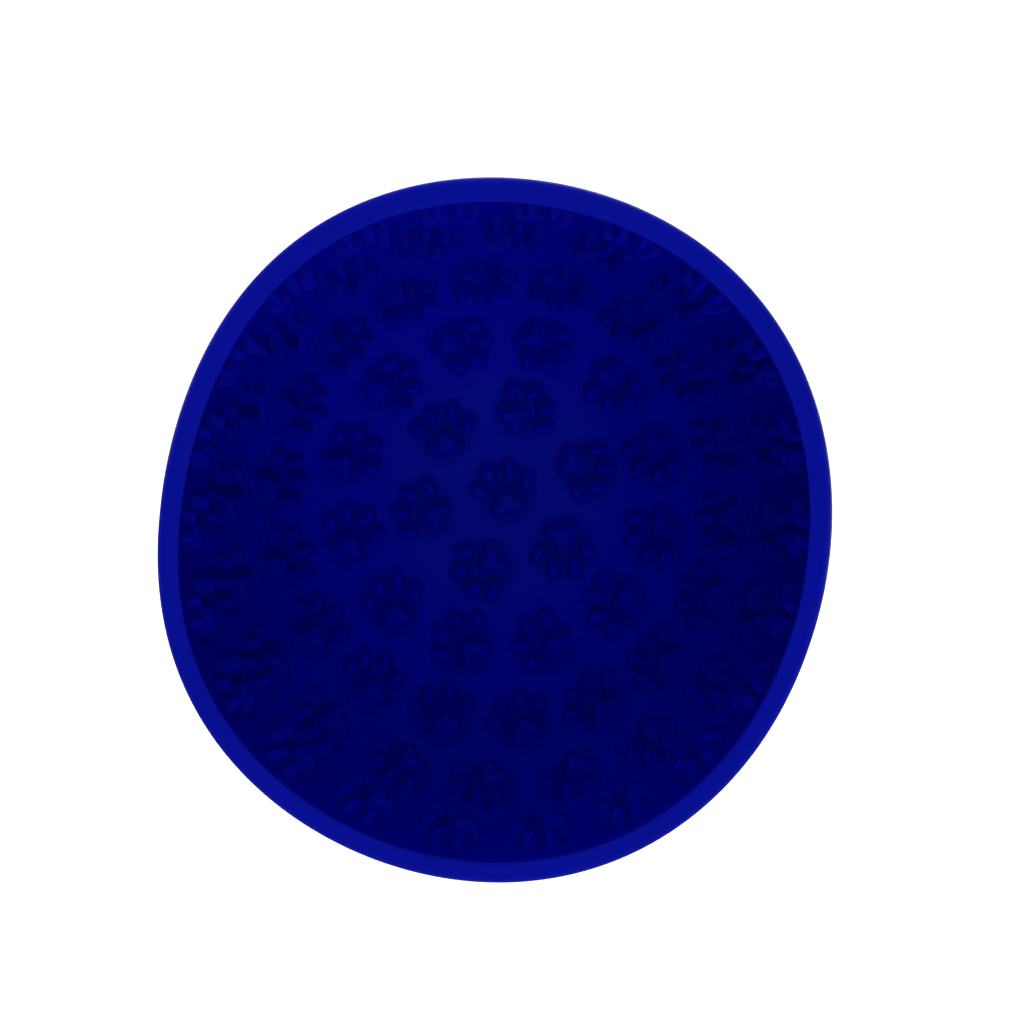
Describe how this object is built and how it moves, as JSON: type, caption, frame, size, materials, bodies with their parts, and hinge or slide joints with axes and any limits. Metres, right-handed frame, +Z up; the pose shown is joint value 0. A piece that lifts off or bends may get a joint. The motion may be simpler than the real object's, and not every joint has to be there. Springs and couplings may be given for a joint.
{
  "type": "wobble slow feeder bowl",
  "caption": "Round-bottomed wobble pet bowl with a lift-out soft liner covered in raised paw prints, a smooth rim and a sealed low weight that rights it.",
  "frame": {"origin": "centre of the flat foot, on the surface the bowl stands on", "axes": "+Z up out of the bowl, +Y along the longer way of the slightly oval rim, +X across it"},
  "size_m": [0.1598, 0.1694, 0.078],
  "materials": {
    "liner": "matt soft thermoplastic rubber, deep blue",
    "shell": "fine matt moulded rubber, deep blue",
    "weight": "raw sand casting with a thin rust-proof coat",
    "cover": "fine spark-eroded plastic",
    "seal": "smooth moulded ring",
    "screw": "bright stainless"
  },
  "bodies": {
    "base": {"outer_shell": "shell", "ballast_weight": "weight", "ballast_cover": "cover", "cover_seal": "seal", "cover_screw_1": "screw", "cover_screw_2": "screw", "cover_screw_3": "screw", "cover_screw_4": "screw"},
    "liner": {"lick_liner": "liner"}
  },
  "joints": [
    {"name": "liner_lift", "type": "slide", "parent": "base", "child": "liner", "axis": [0, 0, 1], "range_m": [0, 0.1]}
  ]
}
